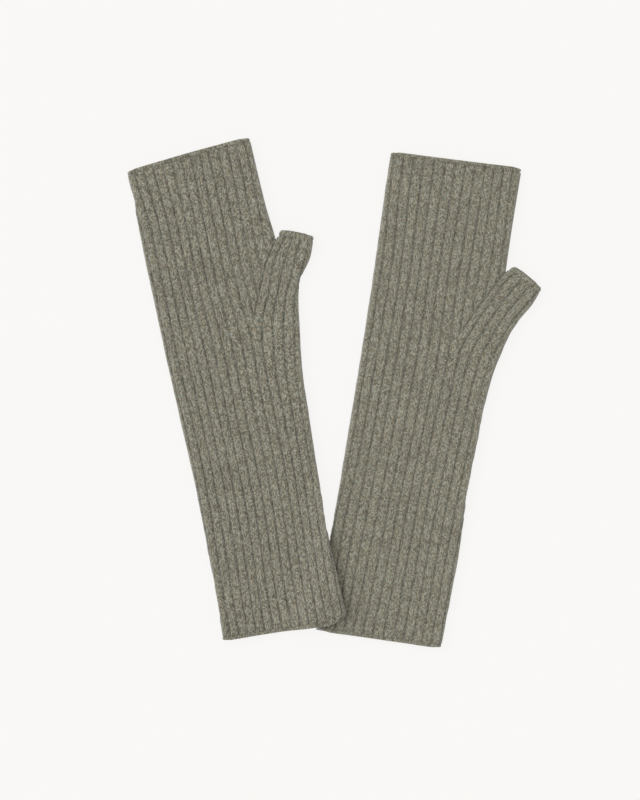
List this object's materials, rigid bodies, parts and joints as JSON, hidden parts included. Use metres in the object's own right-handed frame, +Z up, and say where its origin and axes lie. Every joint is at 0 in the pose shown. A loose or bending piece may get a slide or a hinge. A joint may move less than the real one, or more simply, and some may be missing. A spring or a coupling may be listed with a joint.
{
  "type": "fingerless gloves",
  "caption": "Pair of long fingerless gloves in fine ribbed knit: open tubes for forearm and hand with a short open thumb, lying flat with one cuff corner over the other.",
  "frame": {"origin": "on the floor under the middle of the pair", "axes": "+Y from the cuffs towards the fingers, between the two gloves; +X towards the thumbs' side; +Z up off the floor"},
  "size_m": [0.2892, 0.357, 0.0193],
  "materials": {
    "knit": "matte",
    "seam_yarn": "matte",
    "label": "satin"
  },
  "bodies": {
    "under_forearm": {"under_forearm_tube": "knit", "under_cuff_edge": "knit", "under_side_seam_forearm": "seam_yarn", "under_care_label": "label"},
    "under_hand": {"under_hand_tube": "knit", "under_finger_edge": "knit", "under_side_seam_hand": "seam_yarn", "under_crotch_tack": "seam_yarn"},
    "under_thumb": {"under_thumb_tube": "knit", "under_thumb_edge": "knit", "under_thumb_seam": "seam_yarn"},
    "top_forearm": {"top_forearm_tube": "knit", "top_cuff_edge": "knit", "top_side_seam_forearm": "seam_yarn"},
    "top_hand": {"top_hand_tube": "knit", "top_finger_edge": "knit", "top_side_seam_hand": "seam_yarn", "top_crotch_tack": "seam_yarn"},
    "top_thumb": {"top_thumb_tube": "knit", "top_thumb_edge": "knit", "top_thumb_seam": "seam_yarn"}
  },
  "joints": [
    {"name": "top_glove_lift", "type": "slide", "parent": "under_forearm", "child": "top_forearm", "axis": [0, 0, 1], "range_m": [0, 0.15]},
    {"name": "under_wrist_fold", "type": "hinge", "parent": "under_forearm", "child": "under_hand", "pos_m": [0.06079, 0.01894, 0.0094], "axis": [0.986, -0.1668, 0], "range_deg": [0, 90]},
    {"name": "under_thumb_fold", "type": "hinge", "parent": "under_hand", "child": "under_thumb", "pos_m": [0.11942, 0.08438, 0.0094], "axis": [-0.0749, -0.9972, 0], "range_deg": [0, 150]},
    {"name": "top_wrist_fold", "type": "hinge", "parent": "top_forearm", "child": "top_hand", "pos_m": [-0.07299, 0.02506, 0.0094], "axis": [0.9796, 0.2011, 0], "range_deg": [0, 90]},
    {"name": "top_thumb_fold", "type": "hinge", "parent": "top_hand", "child": "top_thumb", "pos_m": [-0.04148, 0.10727, 0.0094], "axis": [0.2796, -0.9601, 0], "range_deg": [0, 150]}
  ]
}
